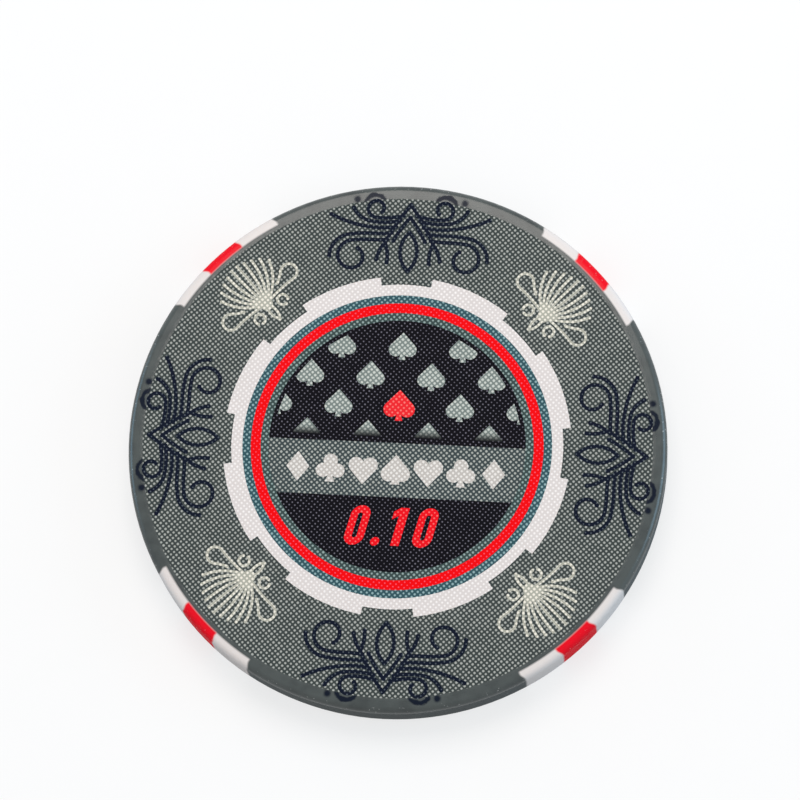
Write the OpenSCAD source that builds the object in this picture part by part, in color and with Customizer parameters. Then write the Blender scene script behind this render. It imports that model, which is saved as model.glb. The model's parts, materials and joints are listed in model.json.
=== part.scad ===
// Casino gaming chip: a white resin blank under thin dyed skins, printed alike on both faces.
// The chip lies flat with its axis on Z and its lower face on Z = 0. +Y is the top of the print.

/* [Blank] */
// Diameter over the edge
chip_d = 39; // [37:0.5:48]
// Thickness over both faces
chip_t = 3.3; // [2.4:0.1:4.5]
// Radius of the rounded corner between a face and the edge
corner_r = 0.45; // [0.3:0.05:0.7]
// Depth to which the dye colours the blank
dye_depth = 0.16; // [0.12:0.01:0.24]

/* [Edge print] */
// Groups of edge spots round the chip
spot_groups = 4; // [2:1:6]
// Length of one edge spot along the edge
spot_l = 3.2; // [2:0.1:4.5]
// Reach of the edge print over each face
wrap_w = 0.8; // [0.75:0.05:1.2]

/* [Face rings] */
// Radius of the centre medallion as a share of the chip's radius
medallion_share = 0.477; // [0.42:0.001:0.52]
// Width of the pinstripe round the medallion
inner_stripe_w = 0.58; // [0.3:0.01:0.9]
// Width of the coloured ring
colour_ring_w = 0.71; // [0.4:0.01:1]
// Width of the pinstripe round the coloured ring
outer_stripe_w = 0.61; // [0.3:0.01:0.9]
// Width of the cog ring at a notch
cog_w = 0.8; // [0.4:0.05:1.2]
// Height of a cog tooth above the notches
cog_tooth_h = 0.6; // [0.3:0.05:1]
// Number of cog teeth
cog_teeth = 8; // [4:1:12]
// Angle that a notch between two teeth takes up
cog_notch_angle = 17.3; // [8:0.1:25]

/* [Medallion] */
// Height of the centre band's upper edge over the chip's middle
band_top = 0.2; // [-0.5:0.1:1]
// Height of the centre band
band_h = 4; // [2:0.1:5]
// Width of a small pip
pip_w = 2.05; // [1.2:0.05:2.1]
// Width of the coloured pip
colour_pip_w = 2.3; // [1.4:0.05:2.4]
// Height of the coloured pip over the chip's middle
colour_pip_y = 3; // [2.4:0.1:3.6]
// Spacing of the pips along a row
pip_pitch = 4.4; // [4:0.1:5.5]
// Spacing of the rows of pips
pip_row_pitch = 2.2; // [2:0.1:2.6]
// Plain strip left between the lowest pips and the band
pip_gap = 0.45; // [0.2:0.05:0.8]
// Plain margin left between the pips and the medallion's rim
pip_margin = 0.3; // [0.1:0.05:0.6]

/* [Ornaments] */
// Pairs of a scroll and a fan round the field
ornament_pairs = 4; // [1:1:4]
// Clear margin between the ornaments and the field's two edges
ornament_margin = 0.3; // [0.2:0.05:0.6]
// Depth to which the ornaments and pips are dyed
ink_depth = 0.08; // [0.04:0.01:0.1]
// Width of a scroll's strokes
scroll_stroke_w = 0.28; // [0.14:0.01:0.32]
// Width of a fan's strokes
fan_stroke_w = 0.2; // [0.1:0.01:0.24]

/* [Hidden] */
$fn = 128;
SIDES = ["front", "back"];
ZONES = ["woven_field", "cog_ring", "outer_pinstripe", "colour_ring", "inner_pinstripe", "upper_panel",
         "centre_band", "lower_panel", "small_pips", "colour_pip", "scrolls", "fans"];
white_count = 2 * spot_groups;

slate = "#5f6a69";
teal = "#4b6e6e";
white = "#ebe4e1";
red = "#f0102a";
black = "#16151f";
navy = "#16223a";
cream = "#dcd8c4";
pale_grey = "#a0aca5";

chip_r = chip_d / 2;
field_r = chip_r - wrap_w;
overrun = dye_depth;

spot_angle = 360 * spot_l / (PI * chip_d);
group_angle = 360 / spot_groups;
first_group = group_angle / 2;

medallion_r = medallion_share * chip_r;
inner_stripe_r = medallion_r + inner_stripe_w;
colour_ring_r = inner_stripe_r + colour_ring_w;
outer_stripe_r = colour_ring_r + outer_stripe_w;
notch_r = outer_stripe_r + cog_w;
tooth_r = notch_r + cog_tooth_h;
tooth_pitch = 360 / cog_teeth;

band_bottom = band_top - band_h;
pip_floor = band_top + pip_gap;
pip_rows = [-1:floor((medallion_r - colour_pip_y) / pip_row_pitch)];
pip_columns = [-ceil(medallion_r / pip_pitch):ceil(medallion_r / pip_pitch)];

ornament_r = tooth_r + ornament_margin;
ornament_h = field_r - ornament_margin - ornament_r;
ornament_step = 360 / ornament_pairs;
// A stroke ends in a round dot, and its arcs meet in another, in shares of the stroke's width
end_dot_share = 1.2;
joint_dot_share = 1.06;

// A pip's outline as shares of its width: tip, shoulder, lobe centre, lobe radius, foot
pip_tip_share = 0.5;
pip_shoulder_shares = [0.428, 0.04];
pip_lobe_shares = [0.245, -0.13];
pip_lobe_r_share = 0.25;
pip_foot_shares = [0.12, -0.5];

// Scroll strokes, as shares of the ornament's height from its inner tip: X across, Y outwards.
// A bow is a start, an end and its turn. A curl is a start, a heading and arcs of radius and turn,
// where a negative radius turns clockwise. A root is a start along the stem, as a share of its chord.
// Each stroke is mirrored to the ornament's other half.
leaf_shares = [[0, 0.02], [0, 0.55]];
leaf_turn = 92;
stem_shares = [[0.32, 0.4], [0, 0.93]];
inner_stem_shares = [[0.21, 0.43], [0, 0.755]];
stem_turn = 12;
barb_end_shares = [[0.42, 0.17], [0.28, 0.13]];
barb_turns = [-30, 30];
volute_root_share = 0.09;
volute_heading = -10;
volute_arc_shares = [[1, 12], [-1.4, 11], [-0.2, 92], [-0.178, 100], [-0.145, 130]];
husk_root_share = 0.26;
husk_heading = -10;
husk_arc_shares = [[1, 12], [-1.7, 12], [-0.3, 82]];
strand_root_share = 0.42;
strand_heading = -12;
strand_arc_shares = [[1, 16], [1.6, 22]];
tendril_root_share = 0.58;
tendril_heading = -14;
tendril_arc_shares = [[1, 22], [0.32, 56]];
curl_root_share = 0.72;
curl_heading = -18;
curl_arc_shares = [[0.9, 24], [0.115, 156], [0.1, 90], [0.085, 60]];

// Fan strokes, in the same shares
knot_shares = [0, 0.25];
knot_r_share = 0.085;
foot_shares = [0, -0.02];
foot_turn = 70;
petal_heading = 168;
petal_arc_shares = [[1.6, 18], [-0.11, 228], [0.55, 18]];
loop_start_shares = [-0.2, 0.085];
loop_heading = 0;
loop_arc_shares = [[0.07, 300]];
spray_end_shares = [[-0.42, 0.68], [-0.34, 0.77], [-0.245, 0.83], [-0.145, 0.87], [-0.048, 0.9]];
spray_turns = [-50, -44, -36, -24, -9];

// Half of the chip's cross-section, shrunk on every side by the inset
module chip_section(inset) {
    r = chip_r - inset;
    c = corner_r - inset;
    difference() {
        translate([0, inset])
            square([r, chip_t - 2 * inset]);
        for (z = [inset + c, chip_t - inset - c])
            difference() {
                translate([r - c, z > chip_t / 2 ? z : z - c - overrun])
                    square([c + overrun, c + overrun]);
                translate([r - c, z])
                    circle(r = c);
            }
    }
}

// The dyed layer that wraps the edge, from one face round to the other
module wrap_section() {
    difference() {
        chip_section(0);
        chip_section(dye_depth);
        translate([0, -overrun])
            square([field_r, chip_t + 2 * overrun]);
    }
}

module edge_wrap(start, sweep) {
    rotate([0, 0, start])
        rotate_extrude(angle = sweep)
            wrap_section();
}

module core_blank() {
    color(white)
        rotate_extrude()
            chip_section(dye_depth);
}

module edge_band(k) {
    color(slate)
        edge_wrap(first_group + (k - 1) * group_angle + 1.5 * spot_angle, group_angle - 3 * spot_angle);
}

module edge_red_spot(k) {
    color(red)
        edge_wrap(first_group + (k - 1) * group_angle - spot_angle / 2, spot_angle);
}

// Odd and even spots stand before and after the red spot of their group
module edge_white_spot(k) {
    group = ceil(k / 2) - 1;
    side = k % 2 == 1 ? -1.5 : 0.5;
    color(white)
        edge_wrap(first_group + group * group_angle + side * spot_angle, spot_angle);
}

module disc(r, h = dye_depth) {
    cylinder(r = r, h = h);
}

module ring(inner_r, outer_r) {
    difference() {
        disc(outer_r);
        translate([0, 0, -overrun])
            disc(inner_r, dye_depth + 2 * overrun);
    }
}

// A ring sector that stands up to the tooth radius over one notch
module notch(k, h) {
    rotate([0, 0, k * tooth_pitch - cog_notch_angle / 2])
        rotate_extrude(angle = cog_notch_angle)
            translate([notch_r, 0])
                square([cog_tooth_h + overrun, h]);
}

module cog_disc(h) {
    difference() {
        disc(tooth_r, h);
        for (k = [0:cog_teeth - 1])
            translate([0, 0, -overrun])
                notch(k, h + 2 * overrun);
    }
}

// One arc of a stroke about the centre, from the start angle on
module arc(centre, r, start, sweep, w, h) {
    translate([centre.x, centre.y, 0])
        rotate([0, 0, start])
            rotate_extrude(angle = sweep)
                translate([r - w / 2, 0])
                    square([w, h]);
}

module dot(p, d, h) {
    translate([p.x, p.y, 0])
        cylinder(d = d, h = h);
}

// A stroke from p to q that turns by the given angle on the way, left if positive
module bow(p, q, turn, w, h) {
    chord = q - p;
    r = norm(chord) / 2 / sin(abs(turn) / 2);
    side = sign(turn);
    heading = atan2(chord.y, chord.x) - turn / 2;
    centre = p + side * r * [-sin(heading), cos(heading)];
    arc(centre, r, side > 0 ? heading - 90 : heading + 90 + turn, abs(turn), w, h);
    dot(p, w * end_dot_share, h);
    dot(q, w * end_dot_share, h);
}

// A stroke of arcs that run smoothly into each other, from arc i on
module curl(p, heading, arcs, w, h, i = 0) {
    r = abs(arcs[i][0]);
    side = sign(arcs[i][0]);
    turn = side * arcs[i][1];
    last = i == len(arcs) - 1;
    centre = p + side * r * [-sin(heading), cos(heading)];
    end = centre + side * r * [sin(heading + turn), -cos(heading + turn)];
    arc(centre, r, side > 0 ? heading - 90 : heading + 90 + turn, abs(turn), w, h);
    if (i == 0)
        dot(p, w * end_dot_share, h);
    dot(end, w * (last ? end_dot_share : joint_dot_share), h);
    if (!last)
        curl(end, heading + turn, arcs, w, h, i + 1);
}

function sized(arc_shares) = [for (a = arc_shares) [a[0] * ornament_h, a[1]]];

function root(share) = (stem_shares[0] + share * (stem_shares[1] - stem_shares[0])) * ornament_h;

module mirrored() {
    children();
    mirror([1, 0, 0])
        children();
}

// An ornament at each step round the field, its axis along the radius
module ornament_ring(start) {
    for (k = [0:ornament_pairs - 1])
        rotate([0, 0, start + k * ornament_step])
            translate([0, ornament_r, 0])
                children();
}

module scroll(h) {
    w = scroll_stroke_w;
    u = ornament_h;
    mirrored() {
        bow(leaf_shares[0] * u, leaf_shares[1] * u, leaf_turn, w, h);
        bow(stem_shares[0] * u, stem_shares[1] * u, stem_turn, w, h);
        bow(inner_stem_shares[0] * u, inner_stem_shares[1] * u, stem_turn, w, h);
        for (i = [0:len(barb_turns) - 1])
            bow(root(0), barb_end_shares[i] * u, barb_turns[i], w, h);
        curl(root(volute_root_share), volute_heading, sized(volute_arc_shares), w, h);
        curl(root(husk_root_share), husk_heading, sized(husk_arc_shares), w, h);
        curl(root(strand_root_share), strand_heading, sized(strand_arc_shares), w, h);
        curl(root(tendril_root_share), tendril_heading, sized(tendril_arc_shares), w, h);
        curl(root(curl_root_share), curl_heading, sized(curl_arc_shares), w, h);
    }
}

module fan(h) {
    w = fan_stroke_w;
    u = ornament_h;
    knot = knot_shares * u;
    translate([knot.x, knot.y, 0])
        cylinder(r = knot_r_share * u, h = h);
    mirrored() {
        bow(knot, foot_shares * u, foot_turn, w, h);
        curl(knot, petal_heading, sized(petal_arc_shares), w, h);
        curl(loop_start_shares * u, loop_heading, sized(loop_arc_shares), w, h);
        for (i = [0:len(spray_turns) - 1])
            bow(knot, spray_end_shares[i] * u, spray_turns[i], w, h);
    }
}

module scroll_set(h) {
    ornament_ring(0)
        scroll(h);
}

module fan_set(h) {
    ornament_ring(ornament_step / 2)
        fan(h);
}

// Lifts what is dyed only to the ink's depth to the outer side of a skin
module at_surface() {
    translate([0, 0, dye_depth - ink_depth])
        children();
}

// Seen from outside, each face carries the same print
module on_face(side) {
    if (side == "front")
        translate([0, 0, chip_t - dye_depth])
            children();
    else
        translate([0, 0, dye_depth])
            rotate([0, 180, 0])
                children();
}

module woven_field() {
    color(slate)
        difference() {
            disc(field_r);
            translate([0, 0, -overrun])
                cog_disc(dye_depth + 2 * overrun);
            at_surface() {
                scroll_set(ink_depth + overrun);
                fan_set(ink_depth + overrun);
            }
        }
}

module scrolls() {
    color(navy)
        at_surface()
            scroll_set(ink_depth);
}

module fans() {
    color(cream)
        at_surface()
            fan_set(ink_depth);
}

module cog_ring() {
    color(white)
        difference() {
            cog_disc(dye_depth);
            translate([0, 0, -overrun])
                disc(outer_stripe_r, dye_depth + 2 * overrun);
        }
}

module outer_pinstripe() {
    color(teal)
        ring(colour_ring_r, outer_stripe_r);
}

module colour_ring() {
    color(red)
        ring(inner_stripe_r, colour_ring_r);
}

module inner_pinstripe() {
    color(teal)
        ring(medallion_r, inner_stripe_r);
}

// The part of the medallion between two heights
module medallion_slice(bottom, top, h = dye_depth, r = medallion_r) {
    intersection() {
        disc(r, h);
        translate([-medallion_r, bottom, 0])
            cube([2 * medallion_r, top - bottom, h]);
    }
}

// A spade: a pointed leaf on two round lobes, with a flared foot
module pip(w, h) {
    linear_extrude(h)
        polygon(w * [
            [0, pip_tip_share],
            pip_shoulder_shares,
            [0, pip_lobe_shares.y],
            [-pip_shoulder_shares.x, pip_shoulder_shares.y]
        ]);
    for (side = [-1, 1])
        translate([side * w * pip_lobe_shares.x, w * pip_lobe_shares.y, 0])
            cylinder(r = w * pip_lobe_r_share, h = h);
    linear_extrude(h)
        polygon(w * [[0, 0], pip_foot_shares, [-pip_foot_shares.x, pip_foot_shares.y]]);
}

// Staggered rows of pips with the middle of the lower full row left free
module pip_rows_of(h) {
    intersection() {
        medallion_slice(pip_floor, medallion_r, h, medallion_r - pip_margin);
        for (row = pip_rows)
            for (column = pip_columns)
                if (row != 0 || column != 0)
                    translate([(column + abs(row) % 2 / 2) * pip_pitch, colour_pip_y + row * pip_row_pitch, 0])
                        pip(pip_w, h);
    }
}

module colour_pip_at(h) {
    translate([0, colour_pip_y, 0])
        pip(colour_pip_w, h);
}

module upper_panel() {
    color(black)
        difference() {
            medallion_slice(band_top, medallion_r);
            at_surface() {
                pip_rows_of(ink_depth + overrun);
                colour_pip_at(ink_depth + overrun);
            }
        }
}

module small_pips() {
    color(pale_grey)
        at_surface()
            pip_rows_of(ink_depth);
}

module colour_pip() {
    color(red)
        at_surface()
            colour_pip_at(ink_depth);
}

module centre_band() {
    color(slate)
        medallion_slice(band_bottom, band_top);
}

module lower_panel() {
    color(black)
        medallion_slice(-medallion_r, band_bottom);
}

core_blank();
for (k = [1:spot_groups]) {
    edge_band(k);
    edge_red_spot(k);
}
for (k = [1:white_count])
    edge_white_spot(k);
for (side = SIDES) {
    on_face(side) woven_field();
    on_face(side) cog_ring();
    on_face(side) outer_pinstripe();
    on_face(side) colour_ring();
    on_face(side) inner_pinstripe();
    on_face(side) upper_panel();
    on_face(side) centre_band();
    on_face(side) lower_panel();
    on_face(side) small_pips();
    on_face(side) colour_pip();
    on_face(side) scrolls();
    on_face(side) fans();
}
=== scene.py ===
"""Looks of a printed casino chip: woven faces, dyed zones and a smooth rim with edge spots."""

import json
import logging
import math
from dataclasses import dataclass, field
from enum import Enum
from typing import Any, Callable, Dict, List, Optional, Sequence, Tuple, Union

import bpy
import numpy as np
from mathutils import Matrix, Vector

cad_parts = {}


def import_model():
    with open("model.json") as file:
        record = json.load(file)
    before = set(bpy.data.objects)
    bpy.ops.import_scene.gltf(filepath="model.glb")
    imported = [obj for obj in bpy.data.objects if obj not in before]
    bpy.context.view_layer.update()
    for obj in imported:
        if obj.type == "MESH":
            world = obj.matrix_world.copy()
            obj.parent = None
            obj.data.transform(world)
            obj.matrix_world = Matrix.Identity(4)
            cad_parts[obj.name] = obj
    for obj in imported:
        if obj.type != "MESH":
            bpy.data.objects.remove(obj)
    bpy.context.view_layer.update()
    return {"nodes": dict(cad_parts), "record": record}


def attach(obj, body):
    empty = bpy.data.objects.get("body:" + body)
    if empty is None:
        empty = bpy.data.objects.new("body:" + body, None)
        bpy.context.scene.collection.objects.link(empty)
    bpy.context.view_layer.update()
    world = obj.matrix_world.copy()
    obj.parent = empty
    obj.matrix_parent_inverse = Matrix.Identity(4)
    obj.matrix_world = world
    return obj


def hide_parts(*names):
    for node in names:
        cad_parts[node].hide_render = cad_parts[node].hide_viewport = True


LOG = logging.getLogger("chip")
BODY = "root"

# Lengths are in metres where nothing else is said
MM = 0.001
CHIP_T = 3.3 * MM
HALF_T_MM = CHIP_T / MM / 2
MERGE_GAP = 1e-7
NEAR = 1e-6

# Radius where the smooth border starts, in millimetres
BORDER_START = 18.45

# Angle from one group of the print to the next, in degrees
QUARTER = 90.0

# Angle up to which neighbouring faces are shaded as one, in radians
SMOOTH_ANGLE = math.radians(40)

# The move that takes a piece of the front face to the back
TO_BACK = Matrix.Translation((0, 0, CHIP_T)) @ Matrix.Rotation(math.pi, 4, "Y")

# Octaves of the noise in fine grain and in clouds
FINE_DETAIL = 2.0
CLOUD_DETAIL = 3.0

# The glossy finish
LACQUER_ROUGHNESS = 0.26
LACQUER_SHEEN = 0.5

# Sockets of a Mix node that blends colours
MIX_FIRST, MIX_SECOND, MIX_RESULT = 6, 7, 2

Colour = Tuple[float, float, float, float]
Shade = Union[Colour, bpy.types.NodeSocket]
Number = Union[float, "Value"]

WHITE: Colour = (1.0, 1.0, 1.0, 1.0)


def srgb(red: int, green: int, blue: int) -> Colour:
    """Turn a screen's colour into a shader's linear values, by the sRGB curve.

    Args:
        red: Red, from 0 to 255.
        green: Green, from 0 to 255.
        blue: Blue, from 0 to 255.

    Returns:
        The linear colour with an alpha of 1.
    """
    linear = []
    for part in (red, green, blue):
        share = part / 255
        linear.append(share / 12.92 if share <= 0.04045 else ((share + 0.055) / 1.055) ** 2.4)
    return (linear[0], linear[1], linear[2], 1.0)


class Side(Enum):
    """The two printed faces of the chip."""

    FRONT = "front"
    BACK = "back"


class Value:
    """A number that changes over a surface; arithmetic on it adds Math nodes."""

    def __init__(self, graph: "Graph", socket: bpy.types.NodeSocket) -> None:
        """Wrap a socket of that graph."""
        self.graph = graph
        self.socket = socket

    def __add__(self, other: Number) -> "Value":
        """Add a number."""
        return self.graph.math("ADD", self, other)

    def __sub__(self, other: Number) -> "Value":
        """Take a number away."""
        return self.graph.math("SUBTRACT", self, other)

    def __rsub__(self, other: Number) -> "Value":
        """Take this value away from a number."""
        return self.graph.math("SUBTRACT", other, self)

    def __mul__(self, other: Number) -> "Value":
        """Multiply by a number."""
        return self.graph.math("MULTIPLY", self, other)

    def __truediv__(self, other: Number) -> "Value":
        """Divide by a number."""
        return self.graph.math("DIVIDE", self, other)

    def __mod__(self, other: Number) -> "Value":
        """Return what is left over after division, never negative."""
        return self.graph.math("FLOORED_MODULO", self, other)

    def __abs__(self) -> "Value":
        """Return the value without its sign."""
        return self.graph.math("ABSOLUTE", self)

    __radd__ = __add__

    def centred(self) -> "Value":
        """Shift a value that runs from 0 to 1 so that its middle is 0."""
        return self - 0.5

    def cosine(self) -> "Value":
        """Return the cosine of the value, in radians."""
        return self.graph.math("COSINE", self)

    def floor(self) -> "Value":
        """Round the value down."""
        return self.graph.math("FLOOR", self)

    def ramp(self, low: float, high: float) -> "Value":
        """Rise smoothly from 0 to 1.

        Args:
            low: Where the rise starts.
            high: Where the rise ends.

        Returns:
            The risen value.
        """
        node = self.graph.node("ShaderNodeMapRange", {"interpolation_type": "SMOOTHSTEP"},
                               {"Value": self, "From Min": low, "From Max": high})
        return Value(self.graph, node.outputs["Result"])

    def hump(self, middle: float, reach: float) -> "Value":
        """Return 1 at the middle, falling smoothly to 0 within the reach on both sides."""
        return 1 - abs(self - middle).ramp(0.0, reach)


@dataclass
class Place:
    """Where a shaded point lies on the chip, in millimetres and degrees.

    Attributes:
        x: Right in the print's own view, on either face.
        y: Up in the print.
        z: Height over the lower face.
        radius: Distance from the chip's axis.
        angle: Direction from the axis, counted from +X of the chip.
        point: The point itself, as a vector.
    """

    x: Value
    y: Value
    z: Value
    radius: Value
    angle: Value
    point: bpy.types.NodeSocket


class Graph:
    """The nodes of one material or of the world."""

    def __init__(self, owner: Union[bpy.types.Material, bpy.types.World]) -> None:
        """Start a material or a world with no nodes."""
        self.owner = owner
        owner.use_nodes = True
        self.tree = owner.node_tree
        self.tree.nodes.clear()

    @classmethod
    def material(cls, name: str) -> "Graph":
        """Start a new, empty material of that name."""
        return cls(bpy.data.materials.new(name))

    def node(self, kind: str, settings: Optional[Dict[str, Any]] = None,
             inputs: Optional[Dict[Union[int, str], Any]] = None) -> bpy.types.Node:
        """Add a node.

        Args:
            kind: The node's type.
            settings: Its options, which are set first.
            inputs: A value or a link for each socket that is filled.

        Returns:
            The new node.
        """
        node = self.tree.nodes.new(kind)
        for key, setting in (settings or {}).items():
            setattr(node, key, setting)
        for key, term in (inputs or {}).items():
            if isinstance(term, Value):
                term = term.socket
            if isinstance(term, bpy.types.NodeSocket):
                self.tree.links.new(term, node.inputs[key])
            else:
                node.inputs[key].default_value = term
        return node

    def math(self, operation: str, *terms: Number) -> Value:
        """Add a Math node over one or two numbers and return its result."""
        node = self.node("ShaderNodeMath", {"operation": operation}, dict(enumerate(terms)))
        return Value(self, node.outputs[0])

    def mix(self, first: Shade, second: Shade, factor: Number) -> bpy.types.NodeSocket:
        """Blend two colours.

        Args:
            first: The colour where the factor is 0.
            second: The colour where the factor is 1.
            factor: The share of the second colour.

        Returns:
            The blended colour's socket.
        """
        node = self.node("ShaderNodeMix", {"data_type": "RGBA"},
                         {0: factor, MIX_FIRST: first, MIX_SECOND: second})
        return node.outputs[MIX_RESULT]

    def noise(self, place: Place, grain: float, detail: float = FINE_DETAIL) -> Value:
        """Return soft noise from 0 to 1 whose lumps are about that many millimetres across."""
        node = self.node("ShaderNodeTexNoise", None,
                         {"Vector": place.point, "Scale": 1 / grain, "Detail": detail})
        return Value(self, node.outputs["Fac"])

    def place(self) -> Place:
        """Read the shaded point's place on the chip."""
        coordinate = self.node("ShaderNodeTexCoord")
        point = self.node("ShaderNodeVectorMath", {"operation": "SCALE"},
                          {0: coordinate.outputs["Object"], "Scale": 1 / MM}).outputs["Vector"]
        parts = self.node("ShaderNodeSeparateXYZ", None, {"Vector": point})
        x, y, z = (Value(self, parts.outputs[axis]) for axis in "XYZ")
        facing = self.math("GREATER_THAN", z, HALF_T_MM) * 2 - 1
        radius = self.math("SQRT", x * x + y * y)
        angle = self.math("ARCTAN2", y, x) * math.degrees(1)
        return Place(x * facing, y, z, radius, angle, point)

    def surface(self, colour: Shade, roughness: Number, height: Value, sheen: float,
                lacquer: Optional[Value] = None) -> bpy.types.Material:
        """Finish the material with a plastic surface.

        Args:
            colour: The base colour.
            roughness: How dull the surface is.
            height: Fine relief in millimetres.
            sheen: The specular level.
            lacquer: Share of a glossy finish.

        Returns:
            The finished material.
        """
        bump = self.node("ShaderNodeBump", None, {"Height": height, "Distance": MM})
        common = {"Base Color": colour, "Normal": bump.outputs["Normal"]}
        shader = self.node("ShaderNodeBsdfPrincipled", None, {
            **common, "Roughness": roughness, "Specular IOR Level": sheen}).outputs["BSDF"]
        if lacquer is not None:
            glossy = self.node("ShaderNodeBsdfPrincipled", None, {
                **common, "Roughness": LACQUER_ROUGHNESS,
                "Specular IOR Level": LACQUER_SHEEN}).outputs["BSDF"]
            shader = self.node("ShaderNodeMixShader", None,
                               {0: lacquer, 1: shader, 2: glossy}).outputs["Shader"]
        self.node("ShaderNodeOutputMaterial", None, {"Surface": shader})
        return self.owner

    def seen(self) -> Value:
        """Return 1 for what the camera sees, also in reflections and through glass."""
        rays = self.node("ShaderNodeLightPath").outputs
        return self.math("MAXIMUM", Value(self, rays["Is Camera Ray"]),
                         self.math("MAXIMUM", Value(self, rays["Is Glossy Ray"]),
                                   Value(self, rays["Is Transmission Ray"])))

    def sky(self, light: float) -> bpy.types.World:
        """Finish the world with a white sky that lights things evenly at that strength."""
        background = self.node("ShaderNodeBackground", None, {
            "Color": WHITE, "Strength": self.seen() * (1 - light) + light})
        self.node("ShaderNodeOutputWorld", None, {"Surface": background.outputs["Background"]})
        return self.owner

    def backdrop(self, colour: Shade, glow: Value) -> bpy.types.Material:
        """Finish the material with a matt surface.

        Args:
            colour: The surface's colour.
            glow: Share of plain white that needs no light.

        Returns:
            The finished material.
        """
        matt = self.node("ShaderNodeBsdfDiffuse", None, {"Color": colour})
        plain = self.node("ShaderNodeEmission", None, {"Color": WHITE, "Strength": 1.0})
        both = self.node("ShaderNodeMixShader", None, {
            0: glow, 1: matt.outputs["BSDF"], 2: plain.outputs["Emission"]})
        self.node("ShaderNodeOutputMaterial", None, {"Surface": both.outputs["Shader"]})
        return self.owner


def deselect() -> None:
    """Leave no object selected."""
    bpy.ops.object.select_all(action="DESELECT")


def activate(obj: bpy.types.Object) -> bpy.types.Object:
    """Select one object alone and make it the active one."""
    deselect()
    obj.select_set(True)
    bpy.context.view_layer.objects.active = obj
    return obj


def vertices_of(obj: bpy.types.Object) -> np.ndarray:
    """Return an object's vertices as rows of X, Y and Z."""
    flat = np.empty(len(obj.data.vertices) * 3)
    obj.data.vertices.foreach_get("co", flat)
    return flat.reshape(-1, 3)


def shift_picked(obj: bpy.types.Object, picked: np.ndarray, move: Sequence[float]) -> None:
    """Move some of a mesh's vertices in edit mode.

    Args:
        obj: The mesh object.
        picked: True for each vertex that moves.
        move: How far they move, in metres.
    """
    mesh = activate(obj).data
    mesh.polygons.foreach_set("select", np.zeros(len(mesh.polygons), bool))
    mesh.edges.foreach_set("select", np.zeros(len(mesh.edges), bool))
    mesh.vertices.foreach_set("select", picked)
    bpy.ops.object.mode_set(mode="EDIT")
    bpy.ops.mesh.select_mode(type="VERT")
    bpy.ops.transform.translate(value=tuple(move))
    bpy.ops.object.mode_set(mode="OBJECT")


def carve(obj: bpy.types.Object, tool: bpy.types.Object, operation: str) -> bpy.types.Object:
    """Apply a Boolean modifier.

    Args:
        obj: The object that is changed.
        tool: The object that it is joined with or cut by.
        operation: UNION, INTERSECT or DIFFERENCE.

    Returns:
        The changed object.
    """
    activate(obj)
    modifier = obj.modifiers.new("carve", "BOOLEAN")
    modifier.solver = "MANIFOLD"
    modifier.operation = operation
    modifier.object = tool
    bpy.ops.object.modifier_apply(modifier=modifier.name)
    return obj


def twin(obj: bpy.types.Object, name: str, move: Optional[Matrix] = None) -> bpy.types.Object:
    """Copy an object with a mesh of its own.

    Args:
        obj: The object to copy.
        name: The copy's name.
        move: Where the copy's mesh goes.

    Returns:
        The copy, at the origin.
    """
    copy = bpy.data.objects.new(name, obj.data.copy())
    copy.data.name = name
    copy.data.transform(move or Matrix.Identity(4))
    bpy.context.scene.collection.objects.link(copy)
    return copy


def discard(*objects: bpy.types.Object) -> None:
    """Delete tools that are no longer needed."""
    for obj in objects:
        bpy.data.meshes.remove(obj.data)


def settle(obj: bpy.types.Object) -> bpy.types.Object:
    """Apply an object's place, turn and size to its mesh."""
    activate(obj)
    bpy.ops.object.transform_apply(location=True, rotation=True, scale=True)
    return obj


def joined(objects: Sequence[bpy.types.Object]) -> bpy.types.Object:
    """Join objects that stand apart into the first of them."""
    first = activate(objects[0])
    for obj in objects:
        obj.select_set(True)
    bpy.ops.object.join()
    return first


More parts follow.
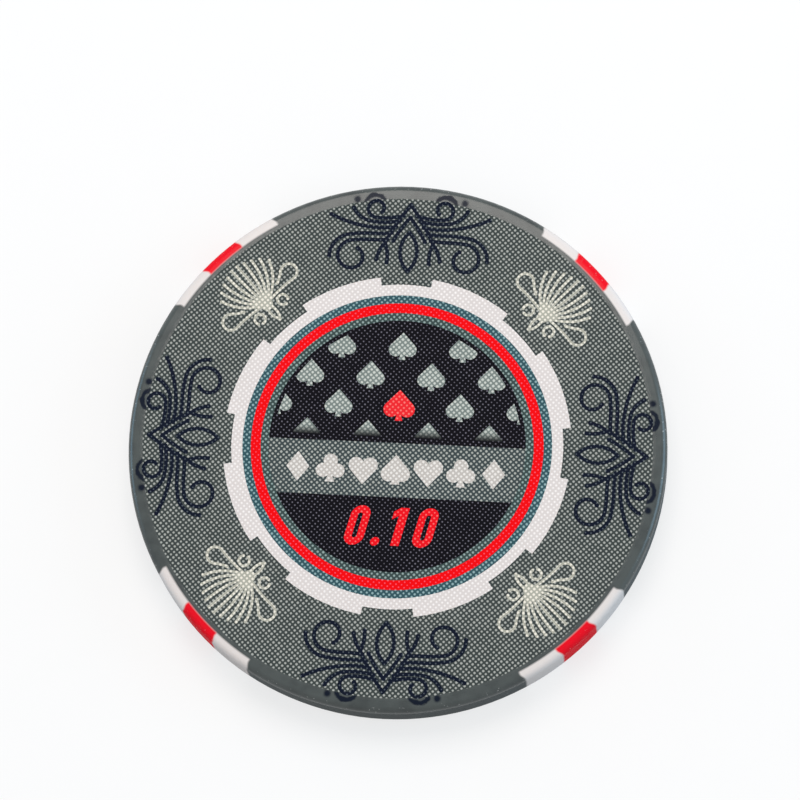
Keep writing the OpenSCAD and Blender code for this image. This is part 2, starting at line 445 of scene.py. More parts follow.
@dataclass
class Weave:
    """The lattice of fine raised dots that is moulded into each face.

    Attributes:
        pitch: Spacing of the dots along their rows.
        turn: Direction of the rows in the print, in radians.
        depth: Height of a dot over the hollows.
        reach: Radius where the lattice gives way to the smooth border.
        top: Height of the dots' tops over the lower face.
        floor: Height of the slab's underside.
        cells: Half-pitch cells along each side of the slab.
    """

    pitch: float = 0.286 * MM
    turn: float = math.radians(42.2)
    depth: float = 0.045 * MM
    reach: float = BORDER_START * MM
    top: float = CHIP_T - 0.001 * MM
    floor: float = CHIP_T - 0.4 * MM
    cells: int = 266

    def build(self) -> bpy.types.Object:
        """Model a closed slab whose upper side carries the lattice.

        Returns:
            The slab, which trims the face's zones.
        """
        deselect()
        step = self.pitch / 2
        bpy.ops.mesh.primitive_grid_add(x_subdivisions=self.cells, y_subdivisions=self.cells,
                                        size=self.cells * step, location=(0, 0, self.top),
                                        rotation=(0, 0, self.turn))
        slab = settle(bpy.context.object)
        slab.name = "weave_slab"
        x, y, _ = vertices_of(slab).T
        along = np.rint((x * math.cos(self.turn) + y * math.sin(self.turn)) / step)
        across = np.rint((y * math.cos(self.turn) - x * math.sin(self.turn)) / step)
        woven = np.hypot(x, y) < self.reach
        for between in (along % 2 == 0, across % 2 == 0):
            shift_picked(slab, between & woven, (0, 0, -self.depth / 2))
        bpy.ops.object.mode_set(mode="EDIT")
        bpy.ops.mesh.select_mode(type="EDGE")
        bpy.ops.mesh.select_all(action="SELECT")
        bpy.ops.mesh.region_to_loop()
        drop = (0, 0, self.floor - self.top)
        bpy.ops.mesh.extrude_edges_move(TRANSFORM_OT_translate={"value": drop})
        bpy.ops.mesh.edge_face_add()
        bpy.ops.mesh.select_all(action="SELECT")
        bpy.ops.mesh.normals_make_consistent(inside=False)
        bpy.ops.object.mode_set(mode="OBJECT")
        return slab

    def lattice(self, graph: Graph, place: Place) -> Tuple[Value, Value]:
        """Read the lattice in a material.

        Args:
            graph: The material's nodes.
            place: The shaded point.

        Returns:
            The height of the lattice from 0 to 1, and a random number for each dot.
        """
        pitch = self.pitch / MM
        along = (place.x * math.cos(self.turn) + place.y * math.sin(self.turn)) / pitch
        across = (place.y * math.cos(self.turn) - place.x * math.sin(self.turn)) / pitch
        rows, columns = (1 - (way * math.tau).cosine() for way in (along, across))
        height = rows * columns / 4
        cell = graph.node("ShaderNodeCombineXYZ", None, {"X": along.floor(), "Y": across.floor()})
        chance = graph.node("ShaderNodeTexWhiteNoise", {"noise_dimensions": "2D"},
                            {"Vector": cell.outputs["Vector"]})
        return height, Value(graph, chance.outputs["Value"])


@dataclass(frozen=True)
class Border:
    """The smooth border outside the weave: grey, lacquered, falling a little outwards.

    Attributes:
        start: Radius where the border starts, in millimetres like the other lengths here.
        soft: Half the width of the soft line where it starts.
        grey: Its colour.
        dark: Its colour where the dye lies thicker.
        ink: Colour of the scrolls' curls that run out over it.
        cloud: Size of the patches where the dye lies thicker.
        patch: Range of the clouds over which a patch turns dark.
        curl_radius: Distance of those curls' middles from the chip's axis.
        curl_aside: Angle from a scroll's axis to those curls' middles, in degrees.
        curl_size: Radius of those curls.
        curl_edge: Distances from a curl's line between which its ink thins out.
        blot: Place of the blot beside a curl, across and outwards from the curl's middle.
        blot_reach: Reach of the blot across and outwards.
        blot_full: Level in the blot where its ink is full.
        wear: How far the ink's edges wander.
        wear_size: Size of that wandering's lumps.
        slope: Fall of the border per millimetre outwards.
        lacquer: Share of the glossy finish.
        ink_matt: Share of the gloss that the ink takes away.
    """

    start: float = BORDER_START
    soft: float = 0.05
    grey: Colour = srgb(68, 75, 74)
    dark: Colour = srgb(52, 59, 59)
    ink: Colour = srgb(3, 16, 34)
    cloud: float = 1.4
    patch: Tuple[float, float] = (0.35, 0.75)
    curl_radius: float = 18.15
    curl_aside: float = 8.2
    curl_size: float = 0.72
    curl_edge: Tuple[float, float] = (0.1, 0.24)
    blot: Tuple[float, float] = (1.25, 0.55)
    blot_reach: Tuple[float, float] = (0.4, 0.45)
    blot_full: float = 0.8
    wear: float = 0.35
    wear_size: float = 0.5
    slope: float = 0.15
    lacquer: float = 0.9
    ink_matt: float = 0.8

    def smear(self, graph: Graph, place: Place) -> Value:
        """Read the ink that has run over the border: a crescent and a blot at each outer curl.

        Args:
            graph: The material's nodes.
            place: The shaded point.

        Returns:
            The share of ink, from 0 to 1.
        """
        from_axis = abs((place.angle + QUARTER / 2) % QUARTER - QUARTER / 2)
        across = (from_axis - self.curl_aside) * (math.radians(1) * self.curl_radius)
        outward = place.radius - self.curl_radius
        reach = graph.math("SQRT", across * across + outward * outward)
        worn = graph.noise(place, self.wear_size).centred() * self.wear
        crescent = 1 - (abs(reach - self.curl_size) + worn).ramp(*self.curl_edge)
        blot = (across.hump(self.blot[0], self.blot_reach[0])
                * outward.hump(self.blot[1], self.blot_reach[1]) * (1 + worn * 2))
        return graph.math("MAXIMUM", crescent, blot.ramp(0.0, self.blot_full))

    def colour(self, graph: Graph, place: Place, smear: Value) -> bpy.types.NodeSocket:
        """Return the dye's colour with that much ink over it."""
        cloud = graph.noise(place, self.cloud, CLOUD_DETAIL)
        return graph.mix(graph.mix(self.grey, self.dark, cloud.ramp(*self.patch)), self.ink, smear)

    def crown(self, graph: Graph, place: Place) -> Value:
        """Return the height of the falling border, in millimetres."""
        return graph.math("MAXIMUM", place.radius - self.start, 0.0) * -self.slope


class Fade(Enum):
    """How a dye ends inside its own zone."""

    NONE = "none"
    TO_PANEL = "to_panel"
    TO_BORDER = "to_border"


PANEL_BLACK = srgb(6, 5, 13)


@dataclass(frozen=True)
class WovenDye:
    """Dye on the woven face, darker in the hollows and lighter on the raised dots: partly dye that
    lies thin on the dots, partly a painted highlight that stands in for the glints on their tops.

    Attributes:
        name: The finish's name.
        hollow: Colour in the hollows.
        dot: Colour on the raised dots, partly thin dye and partly painted highlight.
        start: Height in the lattice where a dot's colour begins.
        full: Height in the lattice where a dot's colour is full.
        fade: How the dye ends inside its zone.
        roughness: How dull the surface is.
        sheen: The specular level.
        cloud: Size of the patches where the dye lies thicker, in millimetres.
        cloud_spread: How much the dots change with those patches.
        dot_spread: How much the dots differ from each other.
        grain: Size of the surface's grain, in millimetres.
        grain_spread: How much the dullness changes with the grain.
        grain_depth: Depth of the grain, in millimetres.
        panel_edge: Heights in the print between which a fading dye appears, in millimetres.
    """

    name: str
    hollow: Colour
    dot: Colour
    start: float = 0.1
    full: float = 0.75
    fade: Fade = Fade.NONE
    roughness: float = 0.5
    sheen: float = 0.05
    cloud: float = 1.6
    cloud_spread: float = 0.25
    dot_spread: float = 0.16
    grain: float = 0.06
    grain_spread: float = 0.2
    grain_depth: float = 0.004
    panel_edge: Tuple[float, float] = (0.55, 1.5)

    def make(self, weave: Weave) -> bpy.types.Material:
        """Make the finish.

        Args:
            weave: The lattice that the dye lies on.

        Returns:
            The material.
        """
        graph = Graph.material(self.name)
        place = graph.place()
        height, chance = weave.lattice(graph, place)
        cloud = graph.noise(place, self.cloud, CLOUD_DETAIL)
        grain = graph.noise(place, self.grain)
        uneven = chance.centred() * self.dot_spread + cloud.centred() * self.cloud_spread
        # Painted highlight: the raised dots take the lighter colour, partly for dye that lies thin
        # there and partly for the glints on their tops.
        colour = graph.mix(self.hollow, self.dot, (height + uneven).ramp(self.start, self.full))
        dull = self.roughness + grain.centred() * self.grain_spread
        relief = grain * self.grain_depth
        lacquer: Optional[Value] = None
        if self.fade is Fade.TO_PANEL:
            colour = graph.mix(PANEL_BLACK, colour, place.y.ramp(*self.panel_edge))
        if self.fade is Fade.TO_BORDER:
            edge = Border()
            border = place.radius.ramp(edge.start - edge.soft, edge.start + edge.soft)
            smear = edge.smear(graph, place)
            colour = graph.mix(colour, edge.colour(graph, place, smear), border)
            relief = relief + edge.crown(graph, place)
            lacquer = border * (1 - smear * edge.ink_matt) * edge.lacquer
        return graph.surface(colour, dull, relief, self.sheen, lacquer)


@dataclass(frozen=True)
class RimDye:
    """Dye rolled over the rim: grey with groups of a white, a red and a white spot.

    Attributes:
        border: The border that the dye carries on.
        side: Colour of the matt wall between the spots.
        white: Colour of a white spot.
        red: Colour of a red spot.
        scuff: Colour of the small nicks on the shoulder.
        spot: Angle that a spot takes up, in degrees.
        slip: Angle by which the rolled print is out of step with the face's.
        blur: Half the width of the soft boundary between two colours, in degrees.
        wander: How far that boundary wanders, in degrees.
        inner: Radii between which the spots appear, in millimetres like the other lengths here.
        roll: Radii between which the print slips.
        wall_edge: Share of half the thickness over which the gloss gives way to the matt wall.
        nick_radius: Radius round which the nicks lie.
        nick_reach: How far from that radius they lie.
        nick_size: Size of the nicks.
        nick_range: Range of the noise over which a nick shows.
        nick_share: How strongly a nick shows.
        roughness: How dull the wall is.
        sheen: The wall's specular level.
        spot_matt: Share of the gloss that a spot lacks.
        grain: Size of the surface's grain.
        grain_spread: How much the dullness changes with the grain.
        grain_depth: Depth of the grain.
    """

    border: Border = Border()
    side: Colour = srgb(77, 83, 84)
    white: Colour = srgb(230, 222, 218)
    red: Colour = srgb(238, 1, 30)
    scuff: Colour = srgb(205, 206, 204)
    spot: float = 9.4
    slip: float = 0.6
    blur: float = 0.32
    wander: float = 0.3
    inner: Tuple[float, float] = (18.66, 18.86)
    roll: Tuple[float, float] = (18.95, 19.45)
    wall_edge: float = 0.35
    nick_radius: float = 19.33
    nick_reach: float = 0.3
    nick_size: float = 0.16
    nick_range: Tuple[float, float] = (0.66, 0.74)
    nick_share: float = 0.7
    roughness: float = 0.6
    sheen: float = 0.05
    spot_matt: float = 0.75
    grain: float = 0.05
    grain_spread: float = 0.12
    grain_depth: float = 0.002

    def make(self) -> bpy.types.Material:
        """Make the finish for every piece of the rim."""
        graph = Graph.material("rim_dye")
        place = graph.place()
        grain = graph.noise(place, self.grain)
        wander = graph.noise(place, self.border.cloud, CLOUD_DETAIL).centred() * self.wander
        angle = place.angle - place.radius.ramp(*self.roll) * self.slip + wander
        off = abs(angle % QUARTER - QUARTER / 2)
        red, white = (1 - off.ramp(end - self.blur, end + self.blur)
                      for end in (self.spot / 2, self.spot / 2 + self.spot))
        inset = place.radius.ramp(*self.inner)
        wall = place.z.hump(HALF_T_MM, HALF_T_MM).ramp(0.0, self.wall_edge)
        smear = self.border.smear(graph, place)
        grey = graph.mix(self.border.colour(graph, place, smear), self.side, wall)
        colour = graph.mix(graph.mix(grey, self.white, white * inset), self.red, red * inset)
        nicks = (graph.noise(place, self.nick_size, CLOUD_DETAIL).ramp(*self.nick_range)
                 * place.radius.hump(self.nick_radius, self.nick_reach))
        colour = graph.mix(colour, self.scuff, nicks * self.nick_share)
        dull = self.roughness + grain.centred() * self.grain_spread
        relief = grain * self.grain_depth + self.border.crown(graph, place)
        matt = graph.math("MAXIMUM", white * self.spot_matt, smear * self.border.ink_matt)
        lacquer = (1 - wall) * (1 - matt) * self.border.lacquer
        return graph.surface(colour, dull, relief, self.sheen, lacquer)


@dataclass(frozen=True)
class BlankResin:
    """The undyed resin of the blank, seen only inside.

    Attributes:
        colour: Its colour.
        speck: Colour of its specks.
        grain: Size of the specks, in millimetres.
        grain_range: Range of the noise over which a speck shows.
        grain_depth: Depth of the specks, in millimetres.
        roughness: How dull the surface is.
        roughness_rise: How much duller a speck is.
        sheen: The specular level.
    """

    colour: Colour = srgb(232, 226, 219)
    speck: Colour = srgb(205, 198, 190)
    grain: float = 0.12
    grain_range: Tuple[float, float] = (0.55, 0.7)
    grain_depth: float = 0.004
    roughness: float = 0.45
    roughness_rise: float = 0.15
    sheen: float = 0.3

    def make(self) -> bpy.types.Material:
        """Make the finish."""
        graph = Graph.material("blank_resin")
        speck = graph.noise(graph.place(), self.grain, CLOUD_DETAIL)
        colour = graph.mix(self.colour, self.speck, speck.ramp(*self.grain_range))
        return graph.surface(colour, self.roughness + speck * self.roughness_rise,
                             speck * self.grain_depth, self.sheen)


@dataclass(frozen=True)
class FloorWhite:
    """A matt white floor that looks whiter than the light it gives to other things.

    Attributes:
        colour: Its colour to the camera and in reflections.
        mottle: Its colour there in slightly darker patches.
        bounce: Its colour in the light that it gives to other things.
        glow: Share of plain white in what the camera and reflections see.
        grain: Size of the patches, in millimetres.
    """

    colour: Colour = (0.95, 0.95, 0.95, 1.0)
    mottle: Colour = (0.9215, 0.9215, 0.9215, 1.0)
    bounce: Colour = (0.3, 0.3, 0.3, 1.0)
    glow: float = 0.7
    grain: float = 4.0

    def make(self) -> bpy.types.Material:
        """Make the finish."""
        graph = Graph.material("floor_white")
        seen = graph.seen()
        patch = graph.noise(graph.place(), self.grain)
        shade = graph.mix(self.bounce, graph.mix(self.colour, self.mottle, patch), seen)
        return graph.backdrop(shade, seen * self.glow)


# The second colour of each finish is its raised dots, lighter partly for thin dye and partly as a
# painted highlight for the glints on their tops; on the bare white, the red and the black it is all
# painted highlight.
FIELD = WovenDye("field_dye_and_glint", srgb(61, 68, 67), srgb(174, 176, 170), fade=Fade.TO_BORDER)
BARE = WovenDye("bare_white", srgb(222, 214, 211), srgb(250, 244, 241), 0.05, 0.95)
TEAL = WovenDye("teal_dye_and_glint", srgb(50, 84, 92), srgb(150, 180, 182), 0.1, 0.8)
SLATE = WovenDye("slate_dye_and_glint", srgb(58, 74, 73), srgb(152, 172, 168), 0.1, 0.8)
RED = WovenDye("red_dye_and_glint", srgb(246, 0, 10), srgb(254, 90, 112), 0.5, 1.0)
BLACK = WovenDye("black_dye_and_glint", PANEL_BLACK, srgb(116, 113, 124), 0.45, 1.05)
BAND = WovenDye("band_dye_and_glint", srgb(62, 72, 74), srgb(178, 181, 174))
PALE = WovenDye("pip_dye_and_glint", srgb(124, 134, 130), srgb(206, 210, 202), 0.05, 0.6, Fade.TO_PANEL)
CORAL = WovenDye("coral_dye_and_glint", srgb(240, 38, 46), srgb(254, 126, 120), 0.2, 0.9)
NAVY = WovenDye("navy_dye_and_glint", srgb(9, 18, 36), srgb(88, 96, 104), 0.4, 1.05)
CREAM = WovenDye("cream_dye_and_glint", srgb(176, 175, 162), srgb(242, 236, 222), 0.05, 0.6)
NUMERAL_RED = WovenDye("numeral_red", srgb(241, 12, 28), srgb(254, 116, 114), 0.35, 0.95)
SUIT_WHITE = WovenDye("suit_white", srgb(196, 190, 184), srgb(240, 235, 229), 0.05, 0.7)

ZONE_DYES: Dict[str, WovenDye] = {
    "woven_field": FIELD,
    "cog_ring": BARE,
    "outer_pinstripe": TEAL,
    "colour_ring": RED,
    "inner_pinstripe": SLATE,
    "upper_panel": BLACK,
    "centre_band": BAND,
    "lower_panel": BLACK,
    "small_pips": PALE,
    "colour_pip": CORAL,
    "scrolls": NAVY,
    "fans": CREAM,
}


@dataclass
class Inlay:
    """A print that is set into a zone of the face.

    Attributes:
        zone: The zone that carries it.
        slot: The record's slot of its finish; not used.
        dye: Its finish.
        depth: How deep it is dyed.
    """

    zone: str
    slot: str
    dye: WovenDye
    depth: float = 0.08 * MM

    @property
    def base(self) -> float:
        """Return the height of its underside."""
        return CHIP_T - self.depth

    @property
    def tall(self) -> float:
        """Return the height of the tool that cuts its pocket."""
        return 2 * self.depth

    def build(self) -> bpy.types.Object:
        """Model the print as a closed solid that stands over the face."""
        raise NotImplementedError


@dataclass
class Numerals(Inlay):
    """The slanted value in the lower panel.

    Attributes:
        height: Height of the digits.
        width: Width of a zero.
        stroke: Width of a digit's stroke.
        slant: Lean of the digits, in radians.
        middle: The print's middle on the face.
        zero_xs: Places of the zeros.
        zero_sides: Vertices round a zero.
        one_x: Place of the one.
        one_height: Height of the one, as a share of the digits' height.
        one_width: Width of its bar, in strokes like the lengths below.
        notch: Distance from its top to the notch under its flag.
        flag: How far its flag reaches out and hangs down.
        point_x: Place of the point.
        point_sides: Vertices round the point.
        point_radius: Radius of the point, in strokes.
    """

    height: float = 2.93 * MM
    width: float = 1.42 * MM
    stroke: float = 0.54 * MM
    slant: float = math.radians(13.5)
    middle: Tuple[float, float] = (-0.06 * MM, -5.95 * MM)
    zero_xs: Tuple[float, ...] = (-2.46 * MM, 2.46 * MM)
    zero_sides: int = 40
    one_x: float = 0.62 * MM
    one_height: float = 0.96
    one_width: float = 1.15
    notch: float = 1.1
    flag: Tuple[float, float] = (0.8, 0.55)
    point_x: float = -0.87 * MM
    point_sides: int = 24
    point_radius: float = 0.6

    def _raise(self, obj: bpy.types.Object) -> bpy.types.Object:
        """Give a flat outline its thickness."""
        activate(obj)
        bpy.ops.object.mode_set(mode="EDIT")
        bpy.ops.mesh.select_all(action="SELECT")
        bpy.ops.mesh.extrude_region_move(TRANSFORM_OT_translate={"value": (0, 0, self.tall)})
        bpy.ops.mesh.select_all(action="SELECT")
        bpy.ops.mesh.normals_make_consistent(inside=False)
        bpy.ops.object.mode_set(mode="OBJECT")
        return obj

    def _zero(self, x: float) -> bpy.types.Object:
        """Model a zero: a circle drawn out, inset by the stroke and opened."""
        deselect()
        radius = self.width / 2
        bpy.ops.mesh.primitive_circle_add(vertices=self.zero_sides, radius=radius, fill_type="NGON",
                                          location=(x, 0, self.base))
        zero = settle(bpy.context.object)
        upper = vertices_of(zero)[:, 1] > NEAR
        for half, way in ((upper, 1), (~upper, -1)):
            shift_picked(zero, half, (0, way * (self.height / 2 - radius), 0))
        bpy.ops.object.mode_set(mode="EDIT")
        bpy.ops.mesh.select_mode(type="FACE")
        bpy.ops.mesh.select_all(action="SELECT")
        bpy.ops.mesh.inset(thickness=self.stroke)
        bpy.ops.mesh.delete(type="FACE")
        bpy.ops.object.mode_set(mode="OBJECT")
        return self._raise(zero)

    def _one(self) -> bpy.types.Object:
        """Model a one: a bar whose upper left edge is drawn out to a flag."""
        deselect()
        bpy.ops.mesh.primitive_plane_add(size=1, location=(self.one_x, 0, self.base))
        one = bpy.context.object
        tall = self.one_height * self.height
        one.scale = (self.one_width * self.stroke, tall, 1)
        settle(one)
        bpy.ops.object.mode_set(mode="EDIT")
        bpy.ops.mesh.select_all(action="SELECT")
        notch = tall / 2 - self.notch * self.stroke
        bpy.ops.mesh.bisect(plane_co=(0, notch, self.base), plane_no=(0, 1, 0))
        bpy.ops.mesh.select_mode(type="EDGE")
        bpy.ops.mesh.select_all(action="DESELECT")
        bpy.ops.object.mode_set(mode="OBJECT")
        spots = vertices_of(one)
        for edge in one.data.edges:
            ends = spots[list(edge.vertices)]
            left = (ends[:, 0] < self.one_x).all()
            edge.select = bool(left and (ends[:, 1] > notch - NEAR).all())
        bpy.ops.object.mode_set(mode="EDIT")
        drop = tuple(-reach * self.stroke for reach in self.flag) + (0,)
        bpy.ops.mesh.extrude_edges_move(TRANSFORM_OT_translate={"value": drop})
        bpy.ops.object.mode_set(mode="OBJECT")
        return self._raise(one)

    def _point(self) -> bpy.types.Object:
        """Model the point: a round dot on the line."""
        deselect()
        radius = self.point_radius * self.stroke
        bpy.ops.mesh.primitive_circle_add(
            vertices=self.point_sides, radius=radius, fill_type="NGON",
            location=(self.point_x, radius - self.height / 2, self.base))
        return self._raise(settle(bpy.context.object))

    def build(self) -> bpy.types.Object:
        """Model the value, lean it and set it in its place."""
        value = joined([self._zero(x) for x in self.zero_xs] + [self._one(), self._point()])
        lean = Matrix.Identity(4)
        lean[0][1] = math.tan(self.slant)
        value.data.transform(Matrix.Translation((*self.middle, 0)) @ lean)
        return value


class Suit(Enum):
    """The four suits of a card deck."""

    SPADE = "spade"
    HEART = "heart"
    CLUB = "club"
    DIAMOND = "diamond"


@dataclass
class SuitRow(Inlay):
    """A row of card suits across the centre band.

    Attributes:
        order: The suits from left to right.
        size: Height of a suit.
        pitch: Spacing of the suits.
        middle_y: Height of the row's middle in the print.
        round_sides: Sides of a round lobe.
    """

    order: Tuple[Suit, ...] = (Suit.DIAMOND, Suit.CLUB, Suit.HEART, Suit.SPADE, Suit.HEART,
                               Suit.CLUB, Suit.DIAMOND)
    size: float = 2.2 * MM
    pitch: float = 2.36 * MM
    middle_y: float = -1.8 * MM
    round_sides: int = 32

    def _block(self, sides: int, radius: float, x: float = 0.0, y: float = 0.0,
               wide: float = 1.0) -> bpy.types.Object:
        """Add a prism.

        Args:
            sides: How many sides it has.
            radius: Its radius, as a share of the suit's height.
            x: Its place to the right, as such a share.
            y: Its place upwards, as such a share.
            wide: How much it is stretched across.

        Returns:
            The prism.
        """
        deselect()
        bpy.ops.mesh.primitive_cylinder_add(
            vertices=sides, radius=radius * self.size, depth=self.tall, scale=(wide, 1, 1),
            location=(x * self.size, y * self.size, self.base + self.tall / 2))
        return settle(bpy.context.object)

    def _fused(self, *blocks: bpy.types.Object) -> bpy.types.Object:
        """Join blocks that overlap into one solid."""
        for block in blocks[1:]:
            carve(blocks[0], block, "UNION")
            discard(block)
        return blocks[0]

    def _leaf(self, way: int) -> List[bpy.types.Object]:
        """Model two lobes under a point, which faces up or down."""
        kite = self._block(4, radius=0.41, y=0.05 * way)
        ys = vertices_of(kite)[:, 1] * way / self.size
        for tip, rise in ((ys > 0.4, 0.06), (ys < -0.3, 0.2)):
            shift_picked(kite, tip, (0, rise * self.size * way, 0))
        return [kite] + [self._block(self.round_sides, radius=0.255, x=x, y=-0.13 * way)
                         for x in (-0.225, 0.225)]

    def _stem(self) -> bpy.types.Object:
        """Model a flared stem."""
        return self._block(3, radius=0.26, y=-0.35, wide=0.7)

    def _clover(self) -> List[bpy.types.Object]:
        """Model three lobes round a middle, on a stem."""
        lobes = [self._block(self.round_sides, radius=0.235, x=x, y=y)
                 for x, y in ((0, 0.22), (-0.24, -0.1), (0.24, -0.1))]
        return lobes + [self._stem(), self._block(12, radius=0.14)]

    def _suit(self, suit: Suit) -> bpy.types.Object:
        """Model one suit at the middle of the face."""
        makers: Dict[Suit, Callable[[], List[bpy.types.Object]]] = {
            Suit.SPADE: lambda: self._leaf(1) + [self._stem()],
            Suit.HEART: lambda: self._leaf(-1),
            Suit.CLUB: self._clover,
            Suit.DIAMOND: lambda: [self._block(4, radius=0.5, wide=0.76)],
        }
        return self._fused(*makers[suit]())

    def build(self) -> bpy.types.Object:
        """Model each suit once and set its copies in a row."""
        models = {suit: self._suit(suit) for suit in Suit}
        first = -(len(self.order) - 1) / 2 * self.pitch
        copies = []
        for k, suit in enumerate(self.order):
            move = Matrix.Translation((first + k * self.pitch, self.middle_y, 0))
            copies.append(twin(models[suit], "suit", move))
        discard(*models.values())
        return joined(copies)


@dataclass
class FacePrint:
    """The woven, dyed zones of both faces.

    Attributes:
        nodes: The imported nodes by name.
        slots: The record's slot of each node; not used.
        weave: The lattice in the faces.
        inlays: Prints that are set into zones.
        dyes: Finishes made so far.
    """

    nodes: Dict[str, bpy.types.Object]
    slots: Dict[str, str]
    weave: Weave = field(default_factory=Weave)
    inlays: Sequence[Inlay] = (
        Numerals("lower_panel", "ring_red", NUMERAL_RED),
        SuitRow("centre_band", "fan_cream", SUIT_WHITE),
    )
    dyes: Dict[str, bpy.types.Material] = field(default_factory=dict)

    def _dye(self, dye: WovenDye) -> bpy.types.Material:
        """Return a finish, made once."""
        if dye.name not in self.dyes:
            self.dyes[dye.name] = dye.make(self.weave)
        return self.dyes[dye.name]

    def _zone(self, zone: str, slab: bpy.types.Object) -> bpy.types.Object:
        """Model a zone of the front face with the lattice on it.

        Args:
            zone: The zone's name.
            slab: The slab that carries the lattice.

        Returns:
            The zone's piece.
        """
        piece = activate(twin(self.nodes[f"front_{zone}"], f"front_{zone}_woven"))
        bpy.ops.mesh.customdata_custom_splitnormals_clear()
        bpy.ops.object.mode_set(mode="EDIT")
        bpy.ops.mesh.select_all(action="SELECT")
        bpy.ops.mesh.remove_doubles(threshold=MERGE_GAP)
        bpy.ops.object.mode_set(mode="OBJECT")
        return carve(piece, slab, "INTERSECT")

    def _finish(self, piece: bpy.types.Object, dye: WovenDye,
                node: Optional[str]) -> None:
        """Shade a piece, dress it and let it ride.

        Args:
            piece: The finished piece.
            dye: Its finish.
            node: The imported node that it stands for, if any.
        """
        activate(piece)
        bpy.ops.object.shade_smooth_by_angle(angle=SMOOTH_ANGLE)
        piece.data.materials.clear()
        piece.data.materials.append(self._dye(dye))
        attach(piece, BODY)
        if node:
            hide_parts(node)
        LOG.info("%s: %d faces", piece.name, len(piece.data.polygons))

    def build(self) -> None:
        """Model every zone of the front face and copy it to the back."""
        slab = self.weave.build()
        zones = {zone: self._zone(zone, slab) for zone in ZONE_DYES}
        prints = {}
        for inlay in self.inlays:
            raised = inlay.build()
            carve(zones[inlay.zone], raised, "DIFFERENCE")
            raised.name = f"front_{type(inlay).__name__.lower()}"
            prints[raised.name] = (carve(raised, slab, "INTERSECT"), inlay)
        discard(slab)
        for zone, piece in zones.items():
            back = twin(piece, f"back_{zone}_woven", TO_BACK)
            for side, copy in ((Side.FRONT, piece), (Side.BACK, back)):
                node = f"{side.value}_{zone}"
                self._finish(copy, ZONE_DYES[zone], node)
        for name, (piece, inlay) in prints.items():
            back = twin(piece, name.replace("front", "back"), TO_BACK)
            for copy in (piece, back):
                self._finish(copy, inlay.dye, None)


@dataclass
class RimPrint:
    """The rim's dyed skins and the blank under them, kept as packed.

    Attributes:
        nodes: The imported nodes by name.
    """

    nodes: Dict[str, bpy.types.Object]

    def dress(self) -> None:
        """Give the rim and the blank their finishes."""
        rim = RimDye().make()
        resin = BlankResin().make()
        for name, node in self.nodes.items():
            if name.startswith("edge_"):
                node.material_slots[0].material = rim
            elif name == "core_blank":
                node.material_slots[0].material = resin
        LOG.info("rim and blank dressed")


@dataclass(frozen=True)
class Lamp:
    """A square soft lamp that faces the chip.

    Attributes:
        name: The lamp's name.
        way: Direction from the face to the lamp.
        distance: Distance from the face.
        width: Length of its sides.
        level: Brightness that it alone gives to a white face, where its tint is white.
        tint: Its colour.
    """

    name: str
    way: Tuple[float, float, float]
    distance: float
    width: float
    level: float
    tint: Tuple[float, float, float] = (1.0, 1.0, 1.0)

    def build(self, face: Vector) -> None:
        """Set the lamp over the face's middle."""
        lamp = bpy.data.objects.new(self.name, bpy.data.lights.new(self.name, "AREA"))
        bpy.context.scene.collection.objects.link(lamp)
        aim = Vector(self.way).normalized()
        lamp.location = face + aim * self.distance
        lamp.rotation_euler = aim.to_track_quat("Z", "Y").to_euler()
        lamp.data.shape = "SQUARE"
        lamp.data.size = self.width
        lamp.data.color = self.tint
        lamp.data.energy = self.level * (math.pi * self.distance) ** 2 / aim.z


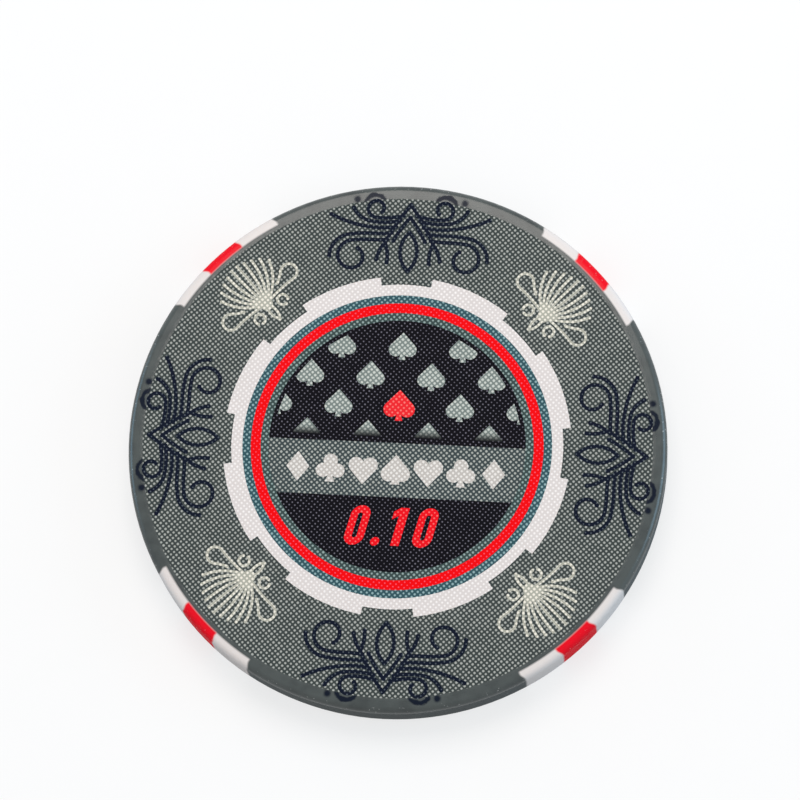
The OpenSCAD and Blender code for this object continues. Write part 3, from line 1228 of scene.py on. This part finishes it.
@dataclass
class Studio:
    """Floor, light and camera.

    Attributes:
        face: Middle of the photographed face.
        back: Direction from the face to the camera.
        turn: Turn of the chip's print in the picture, in radians.
        distance: Distance of the camera from the face.
        aim: How far the picture's middle lies right of and above the face's middle.
        sensor: Width of the camera's sensor, in millimetres.
        lens: Focal length, in millimetres.
        floor_size: Length of the floor's sides.
        floor_gap: Depth of the floor under the chip.
        world: Strength of the even light.
        lamps: The soft lamps.
    """

    face: Vector = field(default_factory=lambda: Vector((0, 0, CHIP_T)))
    back: Vector = field(default_factory=lambda: Vector((0.0646, -0.2208, 0.9732)))
    turn: float = math.radians(3.3)
    distance: float = 341 * MM
    aim: Tuple[float, float] = (0.22 * MM, 3.3 * MM)
    sensor: float = 36.0
    lens: float = 212.6
    floor_size: float = 2.0
    floor_gap: float = 0.01 * MM
    world: float = 0.55
    lamps: Tuple[Lamp, ...] = (
        Lamp("key", (-0.05, 0.54, 0.84), 0.42, 0.25, 0.436, (1.0, 0.927, 0.872)),
        Lamp("right", (0.95, 0.14, 0.28), 0.4, 0.24, 0.13, (0.45, 0.75, 1.0)),
        Lamp("left", (-0.96, 0.2, 0.2), 0.4, 0.2, 0.05, (0.35, 0.7, 1.0)),
    )

    def _camera(self) -> None:
        """Set the camera where the photograph was taken from."""
        camera = bpy.data.objects.new("camera", bpy.data.cameras.new("camera"))
        bpy.context.scene.collection.objects.link(camera)
        back = self.back.normalized()
        up = Vector((-math.sin(self.turn), math.cos(self.turn), 0))
        right = up.cross(back).normalized()
        upward = back.cross(right)
        spot = self.face + back * self.distance + right * self.aim[0] + upward * self.aim[1]
        camera.matrix_world = Matrix((
            (right.x, upward.x, back.x, spot.x),
            (right.y, upward.y, back.y, spot.y),
            (right.z, upward.z, back.z, spot.z),
            (0, 0, 0, 1),
        ))
        camera.data.sensor_width = self.sensor
        camera.data.lens = self.lens
        bpy.context.scene.camera = camera

    def _floor(self) -> None:
        """Lay a plain white floor under the chip."""
        deselect()
        bpy.ops.mesh.primitive_plane_add(size=self.floor_size, location=(0, 0, -self.floor_gap))
        floor = settle(bpy.context.object)
        floor.name = "floor"
        floor.data.materials.append(FloorWhite().make())

    def _light(self) -> None:
        """Set the even light and the soft lamps."""
        bpy.context.scene.world = Graph(bpy.data.worlds.new("studio")).sky(self.world)
        for lamp in self.lamps:
            lamp.build(self.face)

    def build(self) -> None:
        """Set the whole studio."""
        self._camera()
        self._floor()
        self._light()
        bpy.context.scene.view_settings.view_transform = "Standard"
        LOG.info("studio set")


def main() -> None:
    """Build and dress the chip in order."""
    logging.basicConfig(level=logging.INFO, format="%(message)s")
    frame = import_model()
    slots = {entry["node"]: entry["material_slot"] for entry in frame["record"]["subparts"]}
    Studio().build()
    RimPrint(frame["nodes"]).dress()
    FacePrint(frame["nodes"], slots).build()


if __name__ == "__main__":
    main()
